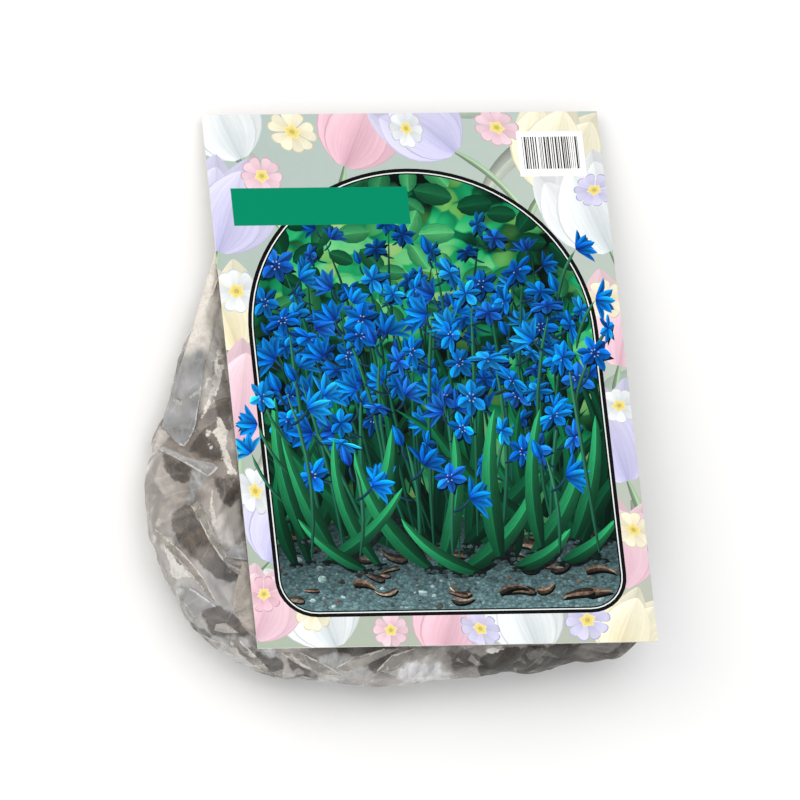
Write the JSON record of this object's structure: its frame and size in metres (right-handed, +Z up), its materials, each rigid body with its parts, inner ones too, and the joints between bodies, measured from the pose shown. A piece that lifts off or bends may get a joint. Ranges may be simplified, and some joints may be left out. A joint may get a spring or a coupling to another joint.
{
  "type": "flower bulb retail pack",
  "caption": "Retail pack of spring flower bulbs: a printed board card fixed by adhesive over a closed clear film bag that holds a heap of small brown bulbs, lying on its back.",
  "frame": {"origin": "centre of the box on the surface the pack lies on", "axes": "+Y towards the card's top edge, +Z up, out of the printed face; +X across the card, to the right as its front is seen"},
  "size_m": [0.206, 0.2466, 0.048],
  "materials": {
    "card_board": "coated on the front, plain on the back",
    "adhesive": "double-sided foam tape",
    "clear_film": "thin crinkled clear film",
    "bulb_skin": "dry papery bulb skin"
  },
  "bodies": {
    "root": {"card": "card_board", "adhesive_strip": "adhesive", "film_bag": "clear_film", "bulb_01": "bulb_skin", "bulb_02": "bulb_skin", "bulb_03": "bulb_skin", "bulb_04": "bulb_skin", "bulb_05": "bulb_skin", "bulb_06": "bulb_skin", "bulb_07": "bulb_skin", "bulb_08": "bulb_skin", "bulb_09": "bulb_skin", "bulb_10": "bulb_skin", "bulb_11": "bulb_skin", "bulb_12": "bulb_skin", "bulb_13": "bulb_skin", "bulb_14": "bulb_skin", "bulb_15": "bulb_skin", "bulb_16": "bulb_skin", "bulb_17": "bulb_skin", "bulb_18": "bulb_skin", "bulb_19": "bulb_skin", "bulb_20": "bulb_skin", "bulb_21": "bulb_skin", "bulb_22": "bulb_skin", "bulb_23": "bulb_skin", "bulb_24": "bulb_skin", "bulb_25": "bulb_skin", "bulb_26": "bulb_skin", "bulb_27": "bulb_skin", "bulb_28": "bulb_skin", "bulb_29": "bulb_skin", "bulb_30": "bulb_skin", "bulb_31": "bulb_skin", "bulb_32": "bulb_skin", "bulb_33": "bulb_skin", "bulb_34": "bulb_skin", "bulb_35": "bulb_skin", "bulb_36": "bulb_skin", "bulb_37": "bulb_skin", "bulb_38": "bulb_skin", "bulb_39": "bulb_skin", "bulb_40": "bulb_skin"}
  },
  "joints": []
}
